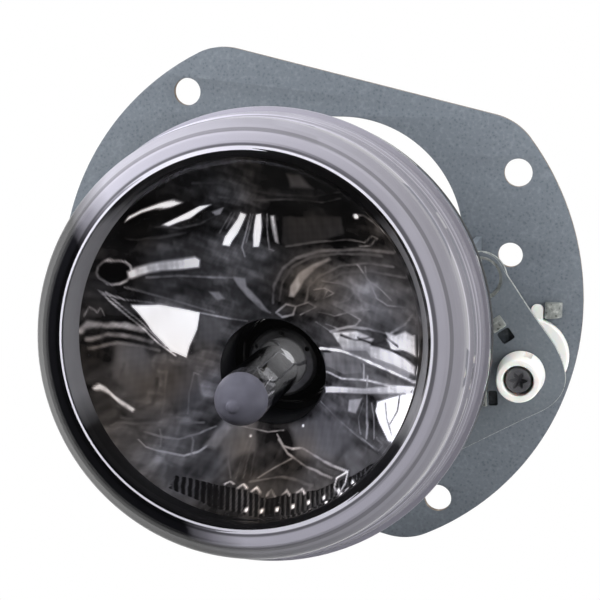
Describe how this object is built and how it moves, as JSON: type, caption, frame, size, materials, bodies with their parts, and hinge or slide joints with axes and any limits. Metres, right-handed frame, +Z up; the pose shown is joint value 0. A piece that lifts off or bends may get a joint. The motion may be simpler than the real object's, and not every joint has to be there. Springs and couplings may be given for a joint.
{
  "type": "automotive fog light",
  "caption": "Round fog light with a clear cup lens, faceted reflector and bayonet bulb, tilting on a flat steel mounting plate by means of an adjusting screw.",
  "frame": {"origin": "centre of the square of four corner holes, on the front face of the mounting plate", "axes": "+X to the right as seen from in front of the lamp, +Y to the rear along the plate normal, +Z up; the lamp shines along -Y"},
  "size_m": [0.134, 0.0914, 0.1234],
  "materials": {
    "plate_steel": "zinc-flake coat, satin, fine dark speckle",
    "frame_steel": "zinc-flake coat, satin",
    "zinc_hardware": "bright zinc",
    "white_nylon": "satin, slightly translucent",
    "screw_steel": "dark zinc",
    "black_housing": "fine-grained",
    "clear_lens": "polished, clear",
    "black_rubber": "matt",
    "grey_trim": "metallised, satin",
    "mirror_bowl": "vacuum-aluminised, pressed in facets",
    "bulb_glass": "clear, painted lilac-grey over the tip",
    "tungsten": "dark",
    "support_wire": "bright",
    "bulb_metal": "bright tin plate",
    "red_silicone": "satin",
    "terminal_tin": "tin plate"
  },
  "bodies": {
    "bracket": {"mounting_plate": "plate_steel", "hinge_rivet_right": "zinc_hardware", "hinge_rivet_left": "zinc_hardware", "adjuster_nut": "white_nylon"},
    "lamp": {"tilt_frame": "frame_steel", "housing": "black_housing", "lens": "clear_lens", "lens_seal": "black_rubber", "masking_ring": "grey_trim", "reflector": "mirror_bowl", "frame_screw_1": "zinc_hardware", "frame_screw_2": "zinc_hardware", "frame_screw_3": "zinc_hardware", "frame_screw_4": "zinc_hardware", "breather_cap": "black_rubber"},
    "adjuster_carrier": {"adjuster_bush": "white_nylon"},
    "screw": {"adjuster_screw": "screw_steel", "screw_clip": "zinc_hardware"},
    "bulb": {"bulb_glass": "bulb_glass", "filament": "tungsten", "filament_wire_long": "support_wire", "filament_wire_short": "support_wire", "bulb_base": "bulb_metal", "bulb_collar": "black_housing", "bulb_seal": "red_silicone", "bulb_body": "black_housing", "terminal_a": "terminal_tin", "terminal_b": "terminal_tin"}
  },
  "joints": [
    {"name": "lamp_tilt", "type": "hinge", "parent": "bracket", "child": "lamp", "pos_m": [0, -0.0135, 0.012], "axis": [1, 0, 0], "range_deg": [-2.5, 2.5]},
    {"name": "carrier_slide", "type": "slide", "parent": "bracket", "child": "adjuster_carrier", "axis": [0, 1, 0], "range_m": [-0.00107, 0.00107]},
    {"name": "screw_turn", "type": "hinge", "parent": "adjuster_carrier", "child": "screw", "pos_m": [0.0545, -0.02, -0.0121], "axis": [0, 1, 0], "range_deg": [-254.5, 254.5]},
    {"name": "bulb_twist", "type": "hinge", "parent": "lamp", "child": "bulb", "pos_m": [0, -0.02, -0.0097], "axis": [0, 1, 0], "range_deg": [0, 35]}
  ],
  "couplings": [
    {"joint": "carrier_slide", "follows": "lamp_tilt", "m_per_rad": 0.0241},
    {"joint": "screw_turn", "follows": "lamp_tilt", "ratio": 100.95}
  ]
}
